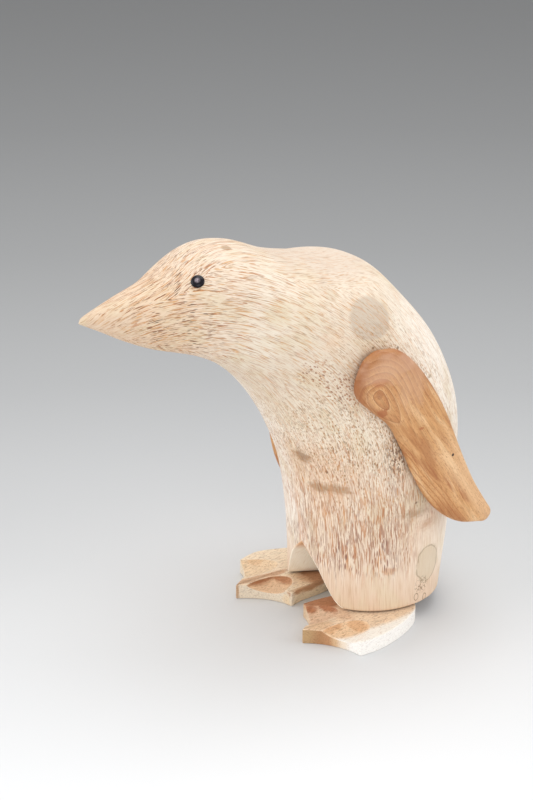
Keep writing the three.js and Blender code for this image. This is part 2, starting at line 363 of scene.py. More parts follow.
def notch_clearance(points):
    """Above zero outside the notch, below zero inside it."""
    x, y, z = points[..., 0], points[..., 1], points[..., 2]
    size = np.maximum((NOTCH_END_Y - y) / (NOTCH_END_Y - NOTCH_FACE_Y), NOTCH_LEAST_SIZE)
    return (z - LEG_CUT) / size - np.interp(np.abs(x) / size, NOTCH_HALF_WIDTHS, NOTCH_HEIGHTS)


def body_surface(place, radius, turn):
    return bar_points(BODY_OVALS, place, radius, turn, BODY_FULLNESS, BEAK_TIP_LENGTH)


def notch_turn(place, radius):
    """The turn at which each row meets the notch's rim, or half a turn, and whether it meets it."""
    clear, cut = np.full_like(place, math.pi / 2), np.full_like(place, math.pi)
    open_row = notch_clearance(body_surface(place, radius, cut)) < 0
    for _ in range(RIM_SEARCH_STEPS):
        middle = (clear + cut) / 2
        inside = notch_clearance(body_surface(place, radius, middle)) < 0
        cut = np.where(inside, middle, cut)
        clear = np.where(inside, clear, middle)
    return np.where(open_row, cut, math.pi), open_row


def body_mesh():
    rim = LEG_RIM_ROUNDING / BODY_OVALS[0, 4]
    rim_run = LEG_RIM_ROUNDING / (BODY_OVALS[1, 1] - BODY_OVALS[0, 1])
    quarter = np.linspace(0, math.pi / 2, RIM_ROWS + 1)[:-1]
    along = even_places(BODY_OVALS, rim_run, BODY_ROWS)
    cap_radius, beyond = rounded_end(BEAK_TAPER, END_ROWS)
    place = np.concatenate([rim_run * (1 - np.cos(quarter)), along, len(BODY_OVALS) - 1 + beyond])
    radius = np.concatenate([1 - rim * (1 - np.sin(quarter)), np.ones_like(along), cap_radius])
    span, open_row = notch_turn(place, radius)
    outermost = 1 - COLUMN_STEP * EDGE_STEPS[-1]
    columns = np.linspace(-outermost, outermost, BODY_COLUMNS)
    columns = np.concatenate([EDGE_STEPS - 1, columns, 1 - EDGE_STEPS[::-1]])
    outside = body_surface(place[:, None], radius[:, None], span[:, None] * columns)
    point = np.array([0, NOTCH_END_Y, LEG_CUT])
    inward = np.concatenate([1 - NOTCH_STEP * EDGE_STEPS, NOTCH_SHARES])[:, None, None]
    apex_row = np.count_nonzero(open_row)
    rim_line = np.concatenate([outside[:apex_row + 1, 0], outside[:apex_row, -1][::-1]])
    notch = point + (rim_line - point) * inward
    sole = point + (outside[0] - point) * inward
    points, faces = joined([outside, notch, sole])
    rim_in_frame = in_frame(rim_line)

    def near_rim(found):
        nearest = np.full(len(found), np.inf)
        for spot in rim_in_frame:
            nearest = np.minimum(nearest, np.linalg.norm(found - spot, axis=1))
        return nearest < EDGE_SOFTENING * MM

    return closed_mesh("body", in_frame(points), faces, near_rim, EDGE_ROUNDS)


def grain_of(points):
    """Where each point lies in the root if it were straight: [across, off the grain line, along it]."""
    fine = smooth_run(GRAIN_LINE, np.linspace(0, len(GRAIN_LINE) - 1, GRAIN_STEPS))
    steps = np.diff(fine, axis=0)
    length = np.concatenate([[0], np.cumsum(np.linalg.norm(steps, axis=1))])
    direction = np.gradient(fine, axis=0)
    direction /= np.linalg.norm(direction, axis=1, keepdims=True)
    side = points[:, 1:]
    nearest = np.empty(len(points), int)
    for part in np.array_split(np.arange(len(points)), GRAIN_BATCHES):
        apart = side[part, None, :] - fine[None, :, :]
        nearest[part] = np.argmin((apart**2).sum(-1), axis=1)
    offset = side - fine[nearest]
    ahead = (offset * direction[nearest]).sum(1)
    off = offset[:, 0] * direction[nearest, 1] - offset[:, 1] * direction[nearest, 0]
    return np.stack([points[:, 0], off, length[nearest] + ahead], 1)


def make_body(material):
    mesh = body_mesh()
    points = from_trunk(of_points(mesh, "co"))
    grain = grain_of(points)
    height = points[:, 2]
    store(mesh, "grain", grain * MM)
    store(mesh, "sideways", np.abs(of_points(mesh, "normal")[:, 0]))
    store(mesh, "in_notch", 1 - soft_step(*NOTCH_SHADING, notch_clearance(points)))
    weathered = soft_step(*GROOVES["from"], height) * (1 - soft_step(*GROOVES["to"], height))
    sanding = HAND_SANDING["height"] * waves(grain, HAND_SANDING["wave"])
    grooves = GROOVES["height"] * weathered * waves(grain + GROOVES["start"], GROOVES["wave"])
    lift(mesh, sanding + grooves)
    return make_piece("body", mesh, material, "root_wood")


# Eyes

def make_eye(setting, name, material):
    turn = np.linspace(0, 2 * math.pi, EYE_SIDES + 1)
    rise = np.linspace(0, math.pi / 2, EYE_ROWS)
    radius = np.concatenate([[0, 1, 1], np.cos(rise)[1:]]) * EYE_RADIUS
    height = np.concatenate([[-EYE_PEG, -EYE_PEG, 0], np.sin(rise)[1:] * EYE_DOME])
    radius[-1] = 0
    across = radius[:, None] * np.cos(turn)
    upward = radius[:, None] * np.sin(turn)
    local = np.stack([across, upward, np.broadcast_to(height[:, None], across.shape)], -1)
    points, faces = joined([local])
    facing = Vector(setting["facing"]).normalized()
    place = Vector(setting["place"]) - facing * setting["sunk"]
    turned = np.array(facing.to_track_quat("Z", "Y").to_matrix())
    mesh = closed_mesh(name, in_frame(points @ turned.T + np.array(place)), faces)
    mesh.set_sharp_from_angle(angle=math.radians(EYE_SHARP_ANGLE))
    return make_piece(name, mesh, material, "eye_bead")


# Wings

def wing_matrix(side):
    """Turns a wing's own [out, below the shoulder, in front] into millimetres from the trunk's middle."""
    sweep = math.radians(WING_SWEEP[side])
    across = Vector((-1, 0, 0))
    down = Vector((0, math.sin(sweep), -math.cos(sweep)))
    axes = Matrix((across, down, across.cross(down))).transposed().to_4x4()
    lean = Matrix.Rotation(math.radians(side * WING_LEAN_IN), 4, "Y")
    shoulder = Matrix.Translation((side * WING_SHOULDER.x, WING_SHOULDER.y, WING_SHOULDER.z))
    return shoulder @ lean @ axes


def make_wing(side, name, body, material):
    last = len(WING_OVALS) - 1
    cap_radius, beyond = rounded_end(WING_END_TAPER, END_ROWS)
    along = even_places(WING_OVALS, 0, WING_ROWS)
    place = np.concatenate([-beyond[::-1], along, last + beyond])
    radius = np.concatenate([cap_radius[::-1], np.ones_like(along), cap_radius])
    turn = np.linspace(-math.pi, math.pi, WING_COLUMNS + 1)
    end_length = np.where(place < 0, WING_END_LENGTH["shoulder"], WING_END_LENGTH["tip"])
    local = bar_points(WING_OVALS, place[:, None], radius[:, None], turn, WING_FULLNESS, end_length[:, None])
    points, faces = joined([local])
    matrix = np.array(wing_matrix(side))
    world = points @ matrix[:3, :3].T + matrix[:3, 3]
    mesh = closed_mesh(name, in_frame(world), faces)
    found = from_trunk(of_points(mesh, "co"))
    back = np.linalg.inv(matrix)
    blade = found @ back[:3, :3].T + back[:3, 3]
    store(mesh, "blade", blade * MM)
    uneven = waves(blade + side * WING_UNEVENNESS["start"], WING_UNEVENNESS["wave"])
    lift(mesh, WING_UNEVENNESS["height"] * uneven)
    rest_on_body(mesh, side, body)
    return make_piece(name, mesh, material, "wing_wood")


def rest_on_body(mesh, side, body):
    """Hollows the wing's inner face so that it lies on the body."""
    tree = surface_tree(body)
    for vertex in mesh.vertices:
        start = Vector((side * BEYOND_THE_WINGS * MM, vertex.co.y, vertex.co.z))
        hit = tree.ray_cast(start, Vector((-side, 0, 0)))[0]
        if hit is not None:
            nearest = side * hit.x + WING_GAP * MM
            if side * vertex.co.x < nearest:
                vertex.co.x = side * nearest
    mesh.update()


def mark_wing_shade(body, wings):
    """Marks the body's points by how near they are to a wing, 1 where they touch, for the shade painted round
    the wings.
    """
    trees = [surface_tree(wing) for wing in wings]
    near = np.zeros(len(body.data.vertices))
    for vertex in body.data.vertices:
        for tree in trees:
            distance = tree.find_nearest(vertex.co, WING_SHADE_REACH * MM)[3]
            if distance is not None:
                near[vertex.index] = 1 - distance / (WING_SHADE_REACH * MM)
    store(body.data, "near_wing_shade", near**2)


# Feet

def curve(points, start, end):
    """A smooth line through points, as the foot's knife-cut side."""
    rows = np.array([start, *points, end], float)
    return run_between(rows[0], rows, rows[-1], np.linspace(0, len(rows) - 1, FOOT_SIDE_STEPS))


def web(toe, middle, start, end):
    """The curve of the web between two toes, bending in towards the foot."""
    bend = toe + (middle - toe) * WEB_BEND
    bend = np.array([bend[0], middle[1] + (toe[1] - middle[1]) * WEB_BEND + WEB_DEPTH])
    t = np.linspace(0, 1, FOOT_WEB_STEPS)[:, None]
    return (1 - t) ** 2 * start + 2 * t * (1 - t) * bend + t**2 * end


def evenly(line, step):
    """The same line with its points a step apart."""
    length = np.concatenate([[0], np.cumsum(np.linalg.norm(np.diff(line, axis=0), axis=1))])
    wanted = np.linspace(0, length[-1], int(round(length[-1] / step)) + 1)
    return np.stack([np.interp(wanted, length, line[:, k]) for k in range(2)], 1)


def foot_outline(toes):
    inner, middle, outer = (np.array(toes[name], float) for name in ("inner", "middle", "outer"))
    parts = [
        web(inner, middle, inner, middle),
        web(outer, middle, middle, outer),
        curve([*OUTER_SIDE, HEEL, *INNER_SIDE], outer, inner),
    ]
    line = np.concatenate([evenly(part, FOOT_OUTLINE_STEP)[:-1] for part in parts])
    for _ in range(FOOT_OUTLINE_ROUNDS):
        line = (np.roll(line, 1, axis=0) + 2 * line + np.roll(line, -1, axis=0)) / 4
    return line


def scoop_floor(plan, toes, web_name):
    """The height of the hollow in one web, or a great height where there is none."""
    scoop = SCOOPS[web_name]
    toe = np.array(toes[web_name], float)
    front = toe + (np.array(toes["middle"]) - toe) * scoop["from_toe"]
    run = np.array(HEEL) - front
    run = run / np.linalg.norm(run)
    off = plan - front
    lengthwise = off @ run / scoop["length"]
    sideways = (off[..., 0] * run[1] - off[..., 1] * run[0]) / scoop["half_width"]
    under = 1 - lengthwise**2 - sideways**2
    depth = (SCOOP_DEPTH + SCOOP_RISE) * np.sqrt(np.maximum(under, 0))
    return np.where(under > 0, FOOT_THICKNESS + SCOOP_RISE - depth, NO_HOLLOW)


def make_foot(side, name, material):
    toes = TOES[side]
    line = foot_outline(toes)
    tangent = np.roll(line, -1, axis=0) - np.roll(line, 1, axis=0)
    tangent /= np.linalg.norm(tangent, axis=1, keepdims=True)
    inward = np.stack([-tangent[:, 1], tangent[:, 0]], 1)
    inward *= np.sign(((FOOT_MIDDLE - line) * inward).sum(1).mean())

    def top(plan):
        floor = np.minimum(scoop_floor(plan, toes, "inner"), scoop_floor(plan, toes, "outer"))
        return np.minimum(floor, FOOT_THICKNESS)

    quarter = np.linspace(0, math.pi / 2, FOOT_EDGE_ROWS)
    rings = []
    for turn in quarter:
        plan = line + inward * FOOT_EDGE * (1 - math.cos(turn))
        rings.append(np.column_stack([plan, np.full(len(plan), FOOT_EDGE * (1 - math.sin(turn)))]))
    rings.reverse()
    wall_top = top(line) - FOOT_EDGE
    for share in np.linspace(0, 1, FOOT_WALL_ROWS)[1:-1]:
        rings.append(np.column_stack([line, FOOT_EDGE + (wall_top - FOOT_EDGE) * share]))
    for turn in quarter:
        plan = line + inward * FOOT_EDGE * (1 - math.cos(turn))
        rings.append(np.column_stack([plan, top(plan) - FOOT_EDGE * (1 - math.sin(turn))]))
    edge = rings[-1][:, :2]
    for share in np.linspace(1, 0, FOOT_RINGS)[1:]:
        plan = FOOT_MIDDLE + (edge - FOOT_MIDDLE) * share
        rings.append(np.column_stack([plan, top(plan)]))
    first = rings[0]
    bottom = [np.column_stack([FOOT_MIDDLE + (first[:, :2] - FOOT_MIDDLE) * share, first[:, 2]])
              for share in np.linspace(0, 1, FOOT_BOTTOM_ROWS)[:-1]]
    rings = np.array(bottom + rings)
    rings = np.concatenate([rings, rings[:, :1]], axis=1)
    points, faces = joined([rings])
    points[:, 0] *= side
    mesh = closed_mesh(name, in_frame(points), faces)
    mesh.set_sharp_from_angle(angle=math.radians(FOOT_SHARP_ANGLE))
    found = from_trunk(of_points(mesh, "co")) * (side, 1, 1)
    depths = [FOOT_THICKNESS - np.minimum(scoop_floor(found[:, :2], toes, web_name), FOOT_THICKNESS)
              for web_name in ("inner", "outer")]
    wall = soft_step(0.5 * FOOT_EDGE, FOOT_EDGE, top(found[:, :2]) - found[:, 2])
    store(mesh, "cut", np.column_stack([*depths, wall]) * MM)
    return make_piece(name, mesh, material, "foot_wood")


# Materials

# Most values of noise lie between these two, and a screen's tones have this gamma.
NOISE_SPREAD = (0.3, 0.7)
SCREEN_GAMMA = 2.2


def tint(red, green, blue):
    """A colour given as a screen shows it, 0 to 255, in the linear values that shaders take."""
    return tuple((value / 255) ** SCREEN_GAMMA for value in (red, green, blue))


class Look:
    """A material built in steps. A step takes numbers, vectors, colours or earlier steps' outputs,
    and gives back its own output. Places are in millimetres."""

    def __init__(self, name):
        self.material = bpy.data.materials.new(name)
        self.material.use_nodes = True
        self.tree = self.material.node_tree
        self.shader = self.tree.nodes["Principled BSDF"]

    def feed(self, socket, value):
        if isinstance(value, bpy.types.NodeSocket):
            self.tree.links.new(value, socket)
        elif socket.type == "RGBA":
            socket.default_value = (*value, 1)
        else:
            socket.default_value = value

    def node(self, kind, inputs, **settings):
        node = self.tree.nodes.new("ShaderNode" + kind)
        for setting, value in settings.items():
            setattr(node, setting, value)
        for socket, value in inputs.items():
            self.feed(node.inputs[socket], value)
        return node

    def math(self, operation, first, second=0.0):
        return self.node("Math", {0: first, 1: second}, operation=operation).outputs[0]

    def vector(self, operation, first, second):
        return self.node("VectorMath", {0: first, 1: second}, operation=operation).outputs["Vector"]

    def part(self, vector, axis):
        return self.node("SeparateXYZ", {0: vector}).outputs[axis]

    def place(self):
        """The place in the frame, from the trunk's middle."""
        metres = self.node("TexCoord", {}).outputs["Object"]
        return self.vector("MULTIPLY", self.vector("SUBTRACT", metres, tuple(TRUNK)), (1 / MM,) * 3)

    def stored(self, name):
        """A vector stored with the mesh."""
        metres = self.node("Attribute", {}, attribute_name=name).outputs["Vector"]
        return self.vector("MULTIPLY", metres, (1 / MM,) * 3)

    def number(self, name):
        """A number stored with the mesh."""
        return self.node("Attribute", {}, attribute_name=name).outputs["Fac"]

    def sized(self, place, size, start=0):
        """The place measured in waves or cells of a given size."""
        measured = self.vector("MULTIPLY", place, tuple(1 / length for length in size))
        return self.vector("ADD", measured, (start, start, start))

    def noise(self, place, size, detail=2.0, start=0, output="Fac"):
        """Noise with waves of a given size, so many finer layers on them, and a start of its own."""
        inputs = {"Vector": self.sized(place, size, start), "Scale": 1.0, "Detail": detail}
        return self.node("TexNoise", inputs).outputs[output]

    def pushed(self, value, place, size, detail, reach, start=0):
        """The value raised by noise, by up to the reach."""
        return self.math("ADD", value, self.math("MULTIPLY", self.noise(place, size, detail, start), reach))

    def swayed(self, place, size, reach, start=0):
        """The place pushed about by noise."""
        push = self.vector("SUBTRACT", self.noise(place, size, 2.0, start, "Color"), (0.5, 0.5, 0.5))
        return self.vector("ADD", place, self.vector("MULTIPLY", push, tuple(2 * length for length in reach)))

    def cells(self, place, size, start=0):
        """Distance from the nearest of many scattered points, in cells, and that point's own number."""
        inputs = {"Vector": self.sized(place, size, start), "Scale": 1.0, "Randomness": 0.95}
        node = self.node("TexVoronoi", inputs)
        return node.outputs["Distance"], self.part(node.outputs["Color"], 0)

    def between(self, value, low, high, least=0.0, most=1.0):
        """A smooth rise from low to high, or a smooth fall where low is the greater."""
        inputs = {"Value": value, 1: low, 2: high, 3: least, 4: most}
        return self.node("MapRange", inputs, interpolation_type="SMOOTHSTEP").outputs[0]

    def both(self, *shares):
        result = shares[0]
        for share in shares[1:]:
            result = self.math("MULTIPLY", result, share)
        return result

    def where(self, *limits):
        """The product of smooth rises, each given as a value and the numbers that between takes."""
        return self.both(*(self.between(*limit) for limit in limits))

    def ramp(self, value, stops, easing="EASE", high=None):
        """Colours or plain numbers along a value, eased from each to the next."""
        low, high = stops[0][0], high or stops[-1][0]
        reach = self.node("MapRange", {"Value": value, 1: low, 2: high}).outputs[0]
        node = self.node("ValToRGB", {0: reach})
        node.color_ramp.interpolation = easing
        while len(node.color_ramp.elements) < len(stops):
            node.color_ramp.elements.new(0.5)
        for element, (at, level) in zip(node.color_ramp.elements, stops):
            element.position = (at - low) / (high - low)
            element.color = (*level, 1) if isinstance(level, tuple) else (level, level, level, 1)
        return node.outputs["Color"]

    def mix(self, share, first, second, blend="MIX"):
        node = self.node("Mix", {0: share, 6: first, 7: second}, data_type="RGBA", blend_type=blend)
        return node.outputs[2]

    def distance(self, place, middle, radii):
        """How far a place is from a middle, in radii of an oval."""
        offset = self.sized(self.vector("SUBTRACT", place, middle), radii)
        return self.node("VectorMath", {0: offset}, operation="LENGTH").outputs["Value"]

    def spot(self, place, middle, radii, edge, ragged):
        """1 within an oval patch round a point of the surface, falling to 0 over its uneven edge."""
        uneven = self.math("MULTIPLY", self.noise(place, [radius * 0.6 for radius in radii]), 2 * ragged)
        uneven = self.math("SUBTRACT", uneven, ragged)
        distance = self.math("ADD", self.distance(place, middle, radii), uneven)
        return self.between(distance, 1 + edge / 2, 1 - edge / 2)

    def stained(self, place, colour, stains, edge, ragged_edge=0.0):
        """A colour with stains on it: each has a middle, radii, tone, strength and unevenness."""
        for middle, radii, stain, share, ragged in stains:
            spot = self.spot(place, middle, radii, edge + ragged_edge * ragged**2, ragged)
            colour = self.mix(self.both(spot, share), colour, stain)
        return colour

    def finish(self, colour, roughness, height=None, reach=0.2):
        """Connects the colour and roughness, and a surface height from 0 to 1 that reaches so far."""
        self.feed(self.shader.inputs["Base Color"], colour)
        self.feed(self.shader.inputs["Roughness"], roughness)
        if height is not None:
            bump = self.node("Bump", {"Height": height, "Distance": reach * MM, "Strength": 1.0})
            self.feed(self.shader.inputs["Normal"], bump.outputs["Normal"])
        return self.material


# The root's tones along its grain, in millimetres from 20 below the floor to the beak's tip.
ROOT_TONES = [
    (0, tint(231, 205, 180)), (32, tint(229, 202, 177)), (48, tint(234, 210, 187)),
    (60, tint(240, 222, 203)), (100, tint(240, 222, 202)), (140, tint(247, 235, 217)),
    (175, tint(249, 238, 221)), (215, tint(240, 227, 208)), (270, tint(236, 222, 204)),
    (300, tint(241, 229, 212)), (335, tint(240, 223, 204)), (370, tint(233, 208, 182)),
    (430, tint(228, 203, 178)),
]
# The tone and strength of the painted rim light on the back and the front's right half.
ROOT_PAINTED_RIM_TONE = tint(254, 248, 239)
ROOT_PAINTED_RIM_SHARE = 0.9
ROOT_PATCH_TONE = tint(228, 212, 182)
ROOT_PATCH_SHARE = 0.5
RAGGED_BORDER = 36

# The back and the right half of the front are made paler as painted rim light: where each starts
# and where it is full, off the grain line or across the bird, then along the grain at its low and at its high
# end.
PAINTED_RIM_BACK = {"off": (-6, 28), "low": (30, 70), "high": (250, 190)}
PAINTED_RIM_FRONT = {"across": (16, -14), "low": (50, 80), "high": (290, 240)}
FIBRE_SHADES = [(0.3, (0.84, 0.76, 0.67)), (0.5, (0.97, 0.945, 0.915)), (0.7, (1.0, 1.0, 1.0))]
DARK_STRANDS = [(0, tint(172, 104, 60)), (0.5, tint(138, 84, 50)), (1, tint(96, 72, 52))]
RUST_STRANDS = [(0, tint(206, 138, 74)), (0.5, tint(180, 108, 52)), (1, tint(136, 84, 46))]
PALE_STRANDS = [(0, tint(222, 168, 110)), (0.6, tint(198, 142, 86)), (1, tint(162, 118, 76))]
MAUVE_STRANDS = [(0, tint(186, 122, 88)), (0.5, tint(160, 104, 80)), (1, tint(134, 94, 80))]
GREY_STRANDS = [(0, tint(196, 154, 110)), (0.6, tint(170, 132, 92)), (1, tint(136, 110, 82))]
DOT_STRANDS = [(0, tint(182, 116, 70)), (0.6, tint(160, 96, 56)), (1, tint(136, 82, 48))]

# Strands are cut lengthwise on the sides and on the top and underside alike, so the marks of the
# texture are drawn out this many times along the surface's own direction. It is taken as the sides'
# where the surface faces sideways by more than the given share, pushed about by noise.
DRAWN_OUT = 7
SIDE_FACING = {"share": 0.64, "push": 0.16}
NOTCH_BORDER = (0.7, 0.2)

# The dark core of a cut strand, as a share of its half width.
STRAND_CORE = 0.4

# The dark streaks above the feet: their waves, how much of the surface they cover (from, to), their
# tones and strength, how deep they are cut, and where they show.
STREAKS = {
    "wave": (0.54, 0.54, 14), "cover": (0.47, 0.56), "share": 0.88, "cut": 0.6,
    "tones": [(0.35, tint(206, 142, 92)), (0.5, tint(182, 124, 86)), (0.65, tint(168, 124, 102))],
    "along": (50, 67, 0.04, 1), "off": (-3, -26, 0.08, 1), "across": (-28, 18, 0.35, 1),
    "height": [(60, 1.0), (78, 0.85), (98, 0.6), (120, 0.35), (140, 0)],
}

# Long strands: the size of their waves across and along the grain, how much of the surface they
# cover (from, to), their tones, and how strongly they show by the place along the grain and by the
# distance off its line towards the back: (from, to, at from, at to). Some show only above a height:
# (none, full).
ROOT_LINES = [
    {"wave": (0.68, 22), "cover": (0.6, 0.64), "tones": RUST_STRANDS, "share": 0.85,
     "along": [(190, 0), (230, 0.3), (290, 0.55), (330, 0.9), (385, 0.9), (412, 0.5), (424, 0)],
     "off": (10, 30, 1, 0.35)},
    {"wave": (0.45, 12), "cover": (0.55, 0.66), "tones": PALE_STRANDS, "share": 0.75,
     "along": [(120, 0), (170, 0.5), (230, 0.9), (400, 1.0), (426, 0.3)], "off": (16, 50, 1, 0.6)},
    {"wave": (0.62, 13), "cover": (0.625, 0.66), "tones": DARK_STRANDS, "share": 0.95,
     "along": [(285, 0), (325, 0.4), (348, 0.95), (384, 0.95), (404, 0)], "off": (12, 26, 1, 0.3)},
    {"wave": (0.7, 3.6), "cover": (0.53, 0.66), "tones": GREY_STRANDS, "share": 0.65, "height": (96, 124),
     "along": [(92, 0.9), (170, 0.95), (215, 0.6), (250, 0.2), (290, 0)], "off": (-10, 45, 1, 0.35)},
    {"wave": (0.75, 8), "cover": (0.56, 0.66), "tones": RUST_STRANDS, "share": 0.8, "height": (60, 80),
     "along": [(92, 0.8), (150, 0.8), (190, 0.5), (225, 0)], "off": (-10, 30, 1, 0.4)},
]

# Layers of cut strands: their spacing across and along the grain, their thinnest and thickest half
# width in spacings, their tones, and where they show, as above.
ROOT_STRANDS = [
    {"spacing": (1.05, 8.5), "half": (0.1, 0.3), "tones": DARK_STRANDS,
     "along": [(322, 0), (342, 0.65), (352, 1), (382, 0.95), (398, 0.2), (415, 0)], "off": (14, 28, 1, 0.4)},
    {"spacing": (0.95, 10), "half": (0.12, 0.34), "tones": RUST_STRANDS,
     "along": [(340, 0), (365, 0.8), (395, 0.9), (414, 0.7), (424, 0)], "off": (4, 24, 1, 0.5)},
    {"spacing": (0.95, 3.8), "half": (0.16, 0.42), "tones": PALE_STRANDS, "height": (40, 110),
     "along": [(60, 0.9), (215, 0.95), (245, 0.5), (290, 0)], "off": (4, 32, 1, 0.35)},
    {"spacing": (0.95, 4), "half": (0.12, 0.42), "tones": GREY_STRANDS, "height": (92, 120),
     "along": [(90, 0.7), (175, 0.75), (215, 0.5), (250, 0)], "off": (4, 32, 1, 0.4)},
    {"spacing": (1.0, 8), "half": (0.2, 0.46), "tones": MAUVE_STRANDS,
     "along": [(53, 0), (63, 0.95), (78, 0.9), (100, 0.3), (140, 0)], "off": (-30, -8, 1, 0.1)},
]

# The stains and knots of the side that faces the camera: middle, radii, tone, strength, unevenness.
ROOT_STAINS = [
    ((26, -54, 106), (30, 20, 24), tint(232, 196, 164), 0.45, 0.7),
    ((54.5, -42, 212), (12, 15.5, 13.5), tint(208, 192, 173), 0.95, 0.1),
    ((49, 11, 37.4), (14, 10.4, 12.6), tint(213, 195, 168), 0.7, 0.25),
    ((11.4, -113.9, 255.5), (3, 3, 3), tint(182, 160, 134), 0.8, 0.4),
    # Painted shade: darkens the top of the back, taking off light the lamp above adds there.
    ((0, -50, 243), (40, 44, 20), tint(220, 202, 184), 0.8, 0.6),
    ((44.8, -62.8, 227), (4, 4, 4), tint(214, 196, 168), 0.5, 0.5),
    ((43, -99, 222), (8, 9, 8), tint(222, 204, 170), 0.5, 0.5),
    ((57.2, -68.3, 203.8), (6, 7, 6), tint(238, 204, 170), 0.35, 0.9),
    ((59.3, -43, 195.1), (0.9, 0.9, 0.9), tint(130, 108, 82), 0.8, 0.3),
    ((57.9, -23.6, 191.2), (0.9, 0.9, 0.9), tint(120, 96, 76), 0.8, 0.3),
    ((56.1, 2.7, 167.4), (1.2, 1.8, 1.2), tint(170, 152, 126), 0.7, 0.4),
    ((16, -62.4, 115.6), (7, 6.5, 4), tint(150, 120, 90), 0.8, 0.7),
    ((29.8, -54.1, 108.2), (1.1, 1.1, 1.3), tint(120, 88, 62), 0.85, 0.4),
    ((21, -54, 95), (7.5, 6, 3.2), tint(164, 130, 96), 0.75, 0.7),
    ((33, -48.5, 96.4), (9.5, 8, 3.2), tint(166, 132, 98), 0.7, 0.7),
    ((53.3, -3, 76.6), (4, 8, 3), tint(164, 134, 104), 0.7, 0.9),
    ((52.2, 8.2, 66), (3, 6, 3), tint(202, 156, 122), 0.6, 0.9),
    ((54, 2, 88), (4, 7, 10), tint(216, 204, 174), 0.7, 0.8),
    ((48.8, -18.8, 38.9), (4, 4.5, 2.6), tint(206, 154, 114), 0.6, 0.6),
    ((53.6, -3, 84), (1, 0.9, 0.9), tint(120, 98, 78), 0.8, 0.3),
]

# The dotted patch in front of the left wing, as three ovals: middle and radii. Its dots are strands
# cut at a slant, three times as wide apart across the bird.
DOTTED_PATCHES = [
    ((55.5, -54, 163), (7, 8, 9)), ((54, -64, 172), (9, 11, 11)), ((52, -78, 184), (9, 10, 11)),
]
DOTS = {"spacing": (1.5, 3.6), "half": (0.34, 0.5), "slant": 3, "share": 0.75}
FLECKED_PATCH = ((58, -20, 122), (8, 9, 22))
FLECK_TONE = tint(120, 84, 60)
FLECK_SHARE = 0.85

# The rings of the root-eye marks: middle, radii, spacing, from and to in radii, how whole, strength.
ROOT_RINGS = [
    ((49, 11, 37.4), (14, 9.5, 11.6), 0.36, (1, 1.3), 0.62, 0.5),
    ((50.8, 1.8, 16), (6, 1.8, 2.5), 0.8, (0.6, 1.25), 1.0, 1.0),
    ((49.5, 9.5, 13.6), (6, 1.8, 2.5), 0.8, (0.6, 1.25), 1.0, 1.0),
]
RING_BORDER = 0.05
CRACK_TONE = tint(136, 104, 74)
CRACK_SHARE = 0.85
CRACKED_PATCH = ((50, 6, 23.5), (12, 5.5, 5.5))

# The notch's tones by height, made paler than the wood round them as painted light inside the notch; the
# painted shade along the seam above the feet; and the painted shade on the body round the wings' edges.
NOTCH_PAINTED_LIGHT_TONES = [(10, tint(255, 250, 234)), (37, tint(255, 244, 226)), (46, tint(224, 176, 136))]
# Inside the notch the fibres darken it only by this share, as part of its painted light.
NOTCH_FIBRES = 0.55
# Painted shade: a dark band on the body just above the leg cut, over the feet.
PAINTED_SEAM_SHADE = {"height": (11.7, 10.8), "share": 0.85, "tone": tint(112, 74, 50)}
# Painted shade on the body round the wings' edges.
PAINTED_WING_SHADE = {"share": 0.9, "tone": tint(120, 98, 76)}

# How much the fibres raise the root's surface, how much the cuts lower it, and by how much in all.
FIBRE_RELIEF = 0.5
CUT_RELIEF = 0.8
ROOT_RELIEF = 0.12


def strand_marks(look, grain, spacing, half, start):
    """Where strands are cut: dashes where the surface runs along them, dots where it crosses them."""
    across, along = spacing
    distance, chance = look.cells(grain, (across, across, along), start)
    size = look.between(chance, 0, 1, *half)
    return look.between(distance, size, look.math("MULTIPLY", size, STRAND_CORE)), chance


def layer_share(look, layer, along, off, height):
    """How strongly a layer of strands shows at each place."""
    return look.both(look.ramp(along, layer["along"]), look.between(off, *layer["off"]),
                     look.between(height, *layer.get("height", (0, 1))), layer.get("share", 1))


def ring_cracks(look, place, middle, radii, spacing, rings, whole):
    """Thin dark rings round a knot, broken here and there: whole is from 0, mostly gone, to 1."""
    distance = look.distance(place, middle, radii)
    distance = look.pushed(distance, place, (5, 5, 5), 2, 0.5 - 0.4 * whole)
    wave = look.math("SINE", look.math("MULTIPLY", distance, 2 * math.pi / spacing))
    gaps = look.noise(place, (3.5, 3.5, 3.5), 2, 66)
    first, last = rings
    return look.where((wave, 0.5, 0.9), (gaps, 0.5 - 0.3 * whole, 0.6 - 0.3 * whole),
                      (distance, first - RING_BORDER, first + RING_BORDER),
                      (distance, last + RING_BORDER, last - RING_BORDER))


